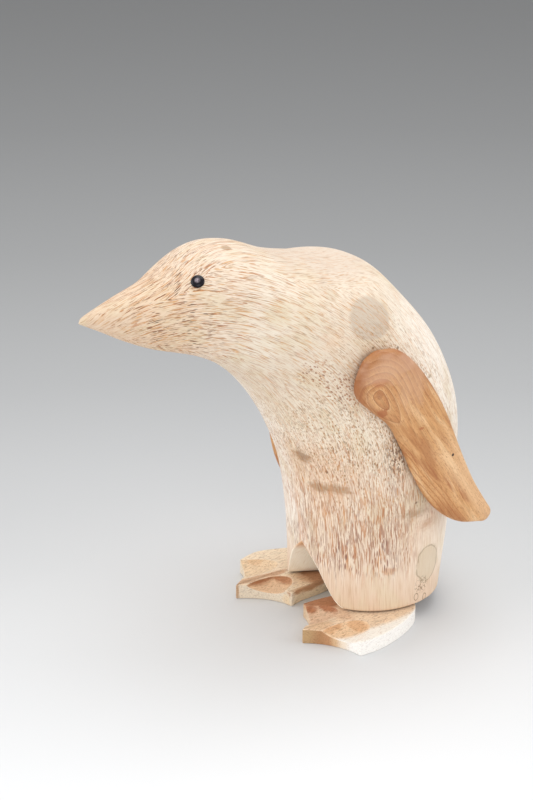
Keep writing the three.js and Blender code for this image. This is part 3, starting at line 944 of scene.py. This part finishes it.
def root_wood():
    """Bleached bamboo root: cream, with the cut ends of brown strands that follow the grain."""
    look = Look("root_wood")
    place = look.place()
    across, height = look.part(place, 0), look.part(place, 2)
    grain = look.swayed(look.stored("grain"), (12, 12, 40), (1.2, 1.2, 0))
    grain = look.swayed(grain, (4, 4, 13), (0.3, 0.3, 0), 33)
    off, along = look.part(grain, 1), look.part(grain, 2)
    ragged = look.pushed(along, grain, (2.2, 2.2, 90), 4, RAGGED_BORDER)
    ragged = look.math("SUBTRACT", ragged, RAGGED_BORDER / 2)
    sideways = look.pushed(look.number("sideways"), place, (6, 6, 6), 1, SIDE_FACING["push"])
    sideways = look.math("GREATER_THAN", sideways, SIDE_FACING["share"])
    across_scale = look.between(sideways, 0, 1, 1, 1 / DRAWN_OUT)
    off_scale = look.between(sideways, 0, 1, 1 / DRAWN_OUT, 1)
    scale = look.node("CombineXYZ", {0: across_scale, 1: off_scale, 2: 1.0}).outputs[0]
    cut_grain = look.vector("MULTIPLY", grain, scale)
    outer = look.between(look.number("in_notch"), *NOTCH_BORDER)

    colour = look.ramp(ragged, ROOT_TONES)
    # Painted rim light: the back and the right half of the front made paler.
    back = look.where((off, *PAINTED_RIM_BACK["off"]), (along, *PAINTED_RIM_BACK["low"]), (along, *PAINTED_RIM_BACK["high"]))
    front = look.where((across, *PAINTED_RIM_FRONT["across"]), (along, *PAINTED_RIM_FRONT["low"]),
                       (along, *PAINTED_RIM_FRONT["high"]))
    colour = look.mix(look.both(look.math("MAXIMUM", back, front), ROOT_PAINTED_RIM_SHARE), colour, ROOT_PAINTED_RIM_TONE)
    patches = look.between(look.noise(grain, (16, 16, 30), 3, 40), 0.48, 0.66)
    colour = look.mix(look.both(patches, ROOT_PATCH_SHARE), colour, ROOT_PATCH_TONE)
    fibres = look.noise(cut_grain, (0.55, 0.55, 13), 3, 7)
    colour = look.mix(1.0, colour, look.ramp(fibres, FIBRE_SHADES), "MULTIPLY")
    colour = look.stained(place, colour, ROOT_STAINS, edge=0.2, ragged_edge=1.8)

    streak_tone = look.ramp(look.noise(grain, (6, 6, 40), 2, 20), STREAKS["tones"])
    streaks = look.between(look.noise(grain, STREAKS["wave"], 3, 90), *STREAKS["cover"])
    streaks = look.both(streaks, look.where((ragged, *STREAKS["along"]), (off, *STREAKS["off"])), outer,
                        look.between(across, *STREAKS["across"]), look.ramp(height, STREAKS["height"]))
    colour = look.mix(look.both(streaks, STREAKS["share"]), colour, streak_tone)
    cut = look.both(streaks, STREAKS["cut"])

    for number, layer in enumerate(ROOT_LINES):
        thickness, length = layer["wave"]
        wave = look.noise(cut_grain, (thickness, thickness, length), 1.5, 150 + 23 * number)
        shown = look.both(look.between(wave, *layer["cover"]), outer,
                          layer_share(look, layer, along, off, height))
        low, high = NOISE_SPREAD
        tones = [(low + (high - low) * at, tone) for at, tone in layer["tones"]]
        colour = look.mix(shown, colour, look.ramp(look.noise(grain, (3, 3, 12), 1, 200 + number), tones))
        cut = look.math("MAXIMUM", cut, shown)

    for number, layer in enumerate(ROOT_STRANDS):
        marks, chance = strand_marks(look, cut_grain, layer["spacing"], layer["half"], 17 * number)
        shown = look.both(marks, outer, layer_share(look, layer, along, off, height))
        colour = look.mix(shown, colour, look.ramp(chance, layer["tones"]))
        cut = look.math("MAXIMUM", cut, shown)

    slanted = look.vector("MULTIPLY", grain, (1 / DOTS["slant"], 1, 1))
    dots, chance = strand_marks(look, slanted, DOTS["spacing"], DOTS["half"], 80)
    patch = 0.0
    for middle, radii in DOTTED_PATCHES:
        patch = look.math("MAXIMUM", patch, look.spot(place, middle, radii, 0.9, 0.3))
    dots = look.both(look.between(dots, 0.1, 0.5), patch)
    colour = look.mix(look.both(dots, DOTS["share"]), colour, look.ramp(chance, DOT_STRANDS))
    cut = look.math("MAXIMUM", cut, dots)
    flecks = look.between(look.noise(grain, (0.9, 0.9, 3.4), 2, 310), 0.5, 0.57)
    flecks = look.both(flecks, look.spot(place, *FLECKED_PATCH, 1.2, 0.3), FLECK_SHARE)
    colour = look.mix(flecks, colour, FLECK_TONE)

    cracks = 0.0
    for middle, radii, spacing, rings, whole, share in ROOT_RINGS:
        ring = ring_cracks(look, place, middle, radii, spacing, rings, whole)
        cracks = look.math("MAXIMUM", cracks, look.both(ring, share))
    web = look.math("ABSOLUTE", look.math("SUBTRACT", look.noise(place, (2.4, 2.4, 1.8), 1.5, 44), 0.5))
    lattice = look.both(look.between(web, 0.045, 0.015), look.spot(place, *CRACKED_PATCH, 0.6, 0.4))
    cracks = look.math("MAXIMUM", cracks, lattice)
    colour = look.mix(look.both(cracks, CRACK_SHARE), colour, CRACK_TONE)

    # Painted light: the notch's faces take near-white tones by height and fainter fibres, brighter than the
    # wood round them.
    inner = look.ramp(height, NOTCH_PAINTED_LIGHT_TONES)
    inner = look.mix(NOTCH_FIBRES, inner, look.ramp(fibres, FIBRE_SHADES), "MULTIPLY")
    colour = look.mix(look.math("SUBTRACT", 1.0, outer), colour, inner)
    # Painted shade along the seam above the feet.
    seam_shade = look.both(look.between(height, *PAINTED_SEAM_SHADE["height"]), PAINTED_SEAM_SHADE["share"])
    colour = look.mix(seam_shade, colour, PAINTED_SEAM_SHADE["tone"])
    # Painted shade on the body near the wings.
    colour = look.mix(look.both(look.number("near_wing_shade"), PAINTED_WING_SHADE["share"]), colour, PAINTED_WING_SHADE["tone"])
    cut = look.math("MAXIMUM", cut, cracks)
    relief = look.math("SUBTRACT", look.both(fibres, FIBRE_RELIEF), look.both(cut, CUT_RELIEF))
    rough = look.between(fibres, *NOISE_SPREAD, 0.78, 0.62)
    return look.finish(colour, rough, relief, ROOT_RELIEF)


# The tones of one growth ring of the wings' wood, and of its long grain.
WING_RING_TONES = [
    (0, tint(150, 94, 58)), (0.07, tint(232, 184, 136)), (0.22, tint(218, 164, 112)),
    (0.6, tint(206, 148, 98)), (0.9, tint(186, 126, 82)), (1, tint(156, 98, 62)),
]
WING_TONES = [(0.35, tint(184, 124, 74)), (0.5, tint(214, 159, 104)), (0.65, tint(240, 196, 146))]
WING_GRAIN_SHADES = [(0.3, 0.78), (0.5, 0.94), (0.7, 1.02)]
WING_PORE_TONE = tint(158, 96, 56)
PORE_SHARE = 0.5
WING_RELIEF = 0.05

# The growth rings: the knot's place below the shoulder and in front of it, their spacing, how far
# they reach when drawn out below the knot and how soon, how flat they are above it, how far noise
# pushes them, in rings, and how they fade down the wing.
KNOT_BELOW = 2.3
KNOT_FRONT = 11
RING_SPACING = 3.3
RINGS_DRAWN_TO = 11
RINGS_DRAWN_BY = 0.028
RINGS_ABOVE = 0.86
RING_PUSH = 1.6
RINGS_FADE = (52, 8, 0.1, 0.7)

# The front edge and the dark streak lean back by these shares of the way down the wing, and the
# lines of grain along the edge turn this many radians of a wave for each millimetre.
EDGE_LEAN = 0.098
STREAK_LEAN = 0.255
EDGE_WAVE = 2.6

# Areas of the wing: the measures that bound each, with where it starts and where it is full, how
# strongly it shows, and its tone.
WING_AREAS = [
    {"kind": "edge_lines", "bounds": [("edge", 17, 21)], "share": 0.55, "tone": tint(170, 98, 48)},
    # The rim is painted shade on the wing's rounded edges and inner side near the shoulder, together with the
    # wood's darker reddish edge.
    {"kind": "rim", "bounds": [("out", -4.8, -3.2), ("down", 44, 16)], "share": 0.65,
     "tone": tint(166, 104, 58)},
    {"kind": "pale", "bounds": [("edge", -16, -4), ("edge", 15, 7), ("down", 45, 100)], "share": 0.45,
     "tone": tint(238, 200, 158)},
    {"kind": "streak", "bounds": [("streak", 25.5, 29), ("streak", 32.5, 30.5), ("down", 40, 62),
                                  ("down", 124, 106)], "share": 0.75, "tone": tint(164, 98, 54)},
]

# The left wing's stains, its knot's shades and its small hole, as above.
WING_STAINS = [
    ((71.1, -45.7, 177.5), (4, 5, 2.6), tint(180, 110, 74), 0.5, 0.5),
    # This stain darkens the shoulder's front edge: the wood's reddish border, with painted edge shade.
    ((64, -57, 179), (9, 4.5, 15), tint(156, 94, 54), 0.6, 0.7),
    ((70.7, -45.7, 169.5), (3, 2.4, 2.6), tint(160, 100, 62), 0.55, 0.6),
    ((69.1, -42, 156.6), (3, 3.4, 3.4), tint(164, 92, 50), 0.7, 0.9),
    ((66, -36, 184), (10, 20, 8), tint(206, 160, 130), 0.6, 0.7),
    ((66, -22, 172), (10, 11, 15), tint(210, 164, 130), 0.5, 0.8),
    ((67.7, 13.7, 117.3), (1.6, 0.95, 0.95), tint(48, 28, 20), 1.0, 0.1),
    ((69.6, -12.7, 141.2), (1.5, 1.8, 0.8), tint(170, 96, 56), 0.7, 0.5),
]


def leaning(look, down, front, lean):
    """The place in front of a line that leans back down the wing."""
    return look.math("ADD", look.math("MULTIPLY", down, lean), front)


def wing_wood():
    """Brown hardwood: growth rings round a knot near the shoulder and long grain down the blade."""
    look = Look("wing_wood")
    place = look.place()
    blade = look.swayed(look.stored("blade"), (30, 60, 30), (2.4, 4, 2.4))
    out, down, front = (look.part(blade, axis) for axis in range(3))
    below = look.math("SUBTRACT", down, KNOT_BELOW)
    drawn = look.math("TANH", look.math("MULTIPLY", below, RINGS_DRAWN_BY))
    drawn = look.math("MULTIPLY", drawn, RINGS_DRAWN_TO)
    stretched = look.math("MAXIMUM", drawn, look.math("MULTIPLY", below, -RINGS_ABOVE))
    flat = look.node("CombineXYZ", {0: stretched, 1: front, 2: 0.0}).outputs[0]
    rings = look.distance(flat, (0, KNOT_FRONT, 0), (RING_SPACING,) * 3)
    rings = look.math("FRACT", look.pushed(rings, blade, (16, 60, 16), 1, RING_PUSH, 5))
    colour = look.ramp(look.noise(blade, (7, 45, 7), 4, 15), WING_TONES)
    colour = look.mix(look.between(down, *RINGS_FADE), colour, look.ramp(rings, WING_RING_TONES))
    grain = look.noise(blade, (0.6, 20, 0.6), 3, 25)
    colour = look.mix(1.0, colour, look.ramp(grain, WING_GRAIN_SHADES), "MULTIPLY")

    measures = {
        "out": out, "down": down, "edge": leaning(look, down, front, EDGE_LEAN),
        "streak": leaning(look, down, front, STREAK_LEAN),
    }
    edge_wave = look.math("SINE", look.math("MULTIPLY", measures["edge"], EDGE_WAVE))
    textures = {
        "edge_lines": look.between(edge_wave, 0.5, 0.95),
        "streak": look.between(look.noise(blade, (1.3, 30, 1.3), 3, 55), 0.36, 0.6),
    }
    for area in WING_AREAS:
        bounds = [(measures[name], start, full) for name, start, full in area["bounds"]]
        shown = look.both(look.where(*bounds), textures.get(area["kind"], 1), area["share"])
        colour = look.mix(shown, colour, area["tone"])
    pores = look.between(look.noise(blade, (0.5, 2.4, 0.5), 1, 61), 0.57, 0.68)
    colour = look.mix(look.both(pores, PORE_SHARE), colour, WING_PORE_TONE)
    colour = look.stained(place, colour, WING_STAINS, edge=0.7)
    return look.finish(colour, look.between(grain, *NOISE_SPREAD, 0.56, 0.44), grain, WING_RELIEF)


# The feet's wood: tones of the tops, of the two hollows and of the walls. The left foot is cut from
# browner wood with a white rim of sapwood; the right one is creamier.
FOOT_TONES = {
    LEFT: {"top": tint(242, 214, 182), "inner": tint(230, 194, 162), "outer": tint(242, 206, 166),
           "wall": tint(253, 249, 243)},
    RIGHT: {"top": tint(241, 220, 190), "inner": tint(230, 192, 154), "outer": tint(234, 206, 170),
            "wall": tint(233, 216, 192)},
}
FOOT_SAP_TONE = tint(253, 247, 236)

# Brown heartwood, seen where the knife went deep: middle, radii, tone, strength, unevenness.
FOOT_HOLLOW_STAINS = [
    ((18, -44, 9), (12, 6, 5), tint(174, 108, 68), 0.9, 0.5),
    ((11, -54, 8), (8, 11, 5), tint(174, 108, 68), 0.9, 0.5),
    ((43, -60, 8), (5, 10, 4), tint(206, 148, 98), 0.7, 0.6),
    ((50, -43, 8), (8, 5, 4), tint(214, 160, 112), 0.6, 0.5),
    ((-37, -62, 9), (6, 15, 5), tint(160, 100, 60), 0.95, 0.4),
    ((-30, -46, 9), (10, 5, 4), tint(174, 112, 70), 0.85, 0.5),
    ((-20, -44, 9), (6, 5, 4), tint(206, 152, 108), 0.55, 0.5),
    ((-62, -47, 9), (5, 6, 5), tint(216, 176, 134), 0.6, 0.5),
]
FOOT_TOP_STAINS = [
    ((41, -66, 10), (5, 9, 4), tint(226, 184, 142), 0.6, 0.4),
    # Painted shade on the foot's top along the front of the left leg, where it stands on the foot.
    ((30, -45, 10), (14, 7, 4), tint(222, 180, 146), 0.6, 0.6),
    ((14, -46, 10), (12, 11, 4), tint(176, 112, 72), 0.9, 0.5),
    ((-18, -30, 10), (12, 9, 3), tint(184, 126, 84), 0.85, 0.3),
    ((-9, -40, 10), (1.6, 16, 4), tint(196, 144, 102), 0.7, 0.3),
    ((-37, -66, 10), (3, 14, 4), tint(200, 148, 106), 0.7, 0.4),
    ((-36, -48, 10), (3, 9, 4), tint(196, 142, 100), 0.7, 0.4),
    ((-20, -42, 10), (9, 8, 4), tint(236, 200, 164), 0.5, 0.5),
]
FOOT_WALL_STAINS = [
    ((12, -56, 10), (6, 6, 3), tint(206, 160, 116), 0.6, 0.5),
    ((-36, -79, 5), (1.6, 3, 8), tint(188, 144, 104), 0.8, 0.5),
    ((-10, -40, 3), (4, 26, 5), tint(236, 208, 170), 0.8, 0.5),
    ((-10, -36, 9.5), (4, 22, 3.6), tint(184, 130, 88), 0.9, 0.5),
]

# The left foot's front wall, outwards from the inner toe, by the distance from the bird's middle.
FOOT_FRONT_WALL = [
    (8, tint(218, 184, 148)), (20, tint(232, 204, 172)), (32, tint(208, 178, 136)), (40, tint(192, 156, 112)),
    (45, tint(182, 134, 92)), (49, tint(196, 144, 102)),
    (53, tint(222, 184, 142)), (58, tint(244, 226, 204)), (64, tint(253, 249, 243)),
]
FRONT_WALL_Y = (-44, -50)

# The left foot's sapwood: its border across the foot, which bows inwards away from this y.
SAPWOOD_EDGE = (58, 63)
SAPWOOD_MIDDLE_Y = -30
SAPWOOD_BEND = 150
SAPWOOD_CALM = 0.45

HOLLOW_BORDER = (0.05, 0.5)
WALL_BORDER = (0.3, 0.8)
WALL_CALM = 0.3
FOOT_GRAIN_SHADES = [(0.3, 0.72), (0.5, 0.93), (0.7, 1.03)]
FOOT_PORE_TONE = tint(150, 94, 58)
FOOT_STAIN_EDGE = 0.6
FOOT_RELIEF = 0.04

EYE_TONES = [(0.3, tint(18, 16, 22)), (0.7, tint(26, 24, 31))]
# The highlight painted in each eye's middle: its tones and radius.
EYE_HIGHLIGHT_TONES = [(0.35, tint(88, 80, 86)), (0.65, tint(170, 158, 164))]
EYE_HIGHLIGHT_RADIUS = 1.5
EYE_SHINE = 0.25


def foot_wood():
    """Pale sapwood with brown heartwood where the knife went deepest."""
    look = Look("foot_wood")
    place = look.place()
    swayed = look.swayed(place, (9, 9, 6), (1.2, 1.2, 0.6))
    cut = look.stored("cut")
    left = look.between(look.part(place, 0), -1, 1)
    in_inner, in_outer = (look.between(look.part(cut, web), *HOLLOW_BORDER) for web in (0, 1))
    on_wall = look.between(look.part(cut, 2), *WALL_BORDER)
    tones = {area: look.mix(left, FOOT_TONES[RIGHT][area], tone) for area, tone in FOOT_TONES[LEFT].items()}
    from_middle = look.math("SUBTRACT", look.part(swayed, 1), SAPWOOD_MIDDLE_Y)
    bent = look.math("DIVIDE", look.math("MULTIPLY", from_middle, from_middle), SAPWOOD_BEND)
    sapwood = look.between(look.math("ADD", look.part(swayed, 0), bent), *SAPWOOD_EDGE)

    top = look.stained(swayed, tones["top"], FOOT_TOP_STAINS, FOOT_STAIN_EDGE)
    hollow = look.mix(in_outer, tones["inner"], tones["outer"])
    hollow = look.stained(swayed, hollow, FOOT_HOLLOW_STAINS, FOOT_STAIN_EDGE)
    colour = look.mix(look.math("MAXIMUM", in_inner, in_outer), top, hollow)
    colour = look.mix(sapwood, colour, FOOT_SAP_TONE)
    front = look.both(left, look.between(look.part(place, 1), *FRONT_WALL_Y))
    wall = look.mix(front, tones["wall"], look.ramp(look.part(swayed, 0), FOOT_FRONT_WALL))
    wall = look.stained(swayed, wall, FOOT_WALL_STAINS, FOOT_STAIN_EDGE)
    colour = look.mix(on_wall, colour, wall)
    fibres = look.noise(look.swayed(place, (20, 20, 20), (2, 2, 2), 3), (0.8, 6, 0.8), 3, 12)
    dark = look.math("SUBTRACT", 1.0, look.both(sapwood, SAPWOOD_CALM))
    dark = look.both(dark, look.between(on_wall, 0, 1, 1, 1 - WALL_CALM))
    colour = look.mix(dark, colour, look.ramp(fibres, FOOT_GRAIN_SHADES), "MULTIPLY")
    pores = look.between(look.noise(place, (0.7, 1.8, 0.7), 1, 31), 0.58, 0.68)
    colour = look.mix(look.both(pores, dark, PORE_SHARE), colour, FOOT_PORE_TONE)
    return look.finish(colour, look.between(fibres, *NOISE_SPREAD, 0.68, 0.56), fibres, FOOT_RELIEF)


def eye_bead():
    """Polished black with a soft grey highlight painted in its middle."""
    look = Look("eye_bead")
    place = look.place()
    cloud = look.noise(place, (0.9, 0.9, 0.9))
    colour = look.ramp(cloud, EYE_TONES)
    # A grey highlight painted in the middle of each eye.
    for setting in (LEFT_EYE, RIGHT_EYE):
        outward = Vector(setting["facing"]).normalized()
        middle = Vector(setting["place"]) + outward * (EYE_DOME - setting["sunk"])
        painted_highlight = look.spot(place, tuple(middle), (EYE_HIGHLIGHT_RADIUS,) * 3, 0.8, 0.4)
        colour = look.mix(painted_highlight, colour, look.ramp(cloud, EYE_HIGHLIGHT_TONES))
    look.shader.inputs["Specular IOR Level"].default_value = EYE_SHINE
    return look.finish(colour, look.between(cloud, *NOISE_SPREAD, 0.08, 0.14))


# Stage

def floor_with_painted_light():
    """Matt paper with a painted pool of light: near white in front of the bird and greyer with distance."""
    look = Look("floor_with_painted_light")
    place = look.node("TexCoord", {}).outputs["Object"]
    distance = look.node("VectorMath", {0: place, 1: FLOOR_LIGHT_POOL}, operation="DISTANCE").outputs["Value"]
    tones = [(at, (grey * (1 - FLOOR_COOLNESS), grey, grey * (1 + FLOOR_COOLNESS)))
             for at, grey in FLOOR_LIGHT_FALLOFF_GREYS]
    look.shader.inputs["Specular IOR Level"].default_value = FLOOR_SHINE
    return look.finish(look.ramp(distance, tones, "B_SPLINE", FLOOR_REACH), FLOOR_ROUGHNESS)


def make_floor():
    mesh = bpy.data.meshes.new("floor")
    half = FLOOR_HALF_WIDTH
    corners = [(-half, -half, 0), (half, -half, 0), (half, half, 0), (-half, half, 0)]
    mesh.from_pydata(corners, [], [(0, 1, 2, 3)])
    floor = bpy.data.objects.new("floor", mesh)
    bpy.context.scene.collection.objects.link(floor)
    mesh.materials.append(floor_with_painted_light())


def make_lamp(name, place, aim_height, size, power):
    data = bpy.data.lights.new(name, "AREA")
    data.shape = "DISK"
    data.size = size
    data.energy = power
    light = bpy.data.objects.new(name, data)
    light.location = place
    towards = Vector((0, 0, aim_height)) - Vector(place)
    light.rotation_euler = towards.to_track_quat("-Z", "Y").to_euler()
    bpy.context.scene.collection.objects.link(light)


def make_camera():
    azimuth, pitch = math.radians(CAMERA_AZIMUTH), math.radians(CAMERA_PITCH)
    level = math.cos(pitch)
    right = Vector((math.cos(azimuth), math.sin(azimuth), 0))
    back = Vector((math.sin(azimuth) * level, -math.cos(azimuth) * level, math.sin(pitch)))
    up = back.cross(right)
    data = bpy.data.cameras.new("camera")
    data.lens = CAMERA_LENS_MM
    camera = bpy.data.objects.new("camera", data)
    turned = Matrix((right, up, back)).transposed().to_4x4()
    place = Vector(in_frame(CAMERA_AIM)) + back * CAMERA_DISTANCE * MM
    camera.matrix_world = Matrix.Translation(place) @ turned
    bpy.context.scene.collection.objects.link(camera)
    bpy.context.scene.camera = camera


make_camera()
make_floor()
for name, lamp in LAMPS.items():
    make_lamp(name, *lamp)
world = bpy.data.worlds.new("studio")
world.use_nodes = True
world.node_tree.nodes["Background"].inputs["Color"].default_value = (1, 1, 1, 1)
world.node_tree.nodes["Background"].inputs["Strength"].default_value = ROOM_LIGHT
bpy.context.scene.world = world
bpy.context.scene.view_settings.view_transform = "Standard"

body = make_body(root_wood())
wings_wood, feet_wood, beads = wing_wood(), foot_wood(), eye_bead()
wings = [make_wing(LEFT, "left_wing", body, wings_wood), make_wing(RIGHT, "right_wing", body, wings_wood)]
mark_wing_shade(body, wings)
make_foot(LEFT, "left_foot", feet_wood)
make_foot(RIGHT, "right_foot", feet_wood)
make_eye(LEFT_EYE, "left_eye", beads)
make_eye(RIGHT_EYE, "right_eye", beads)
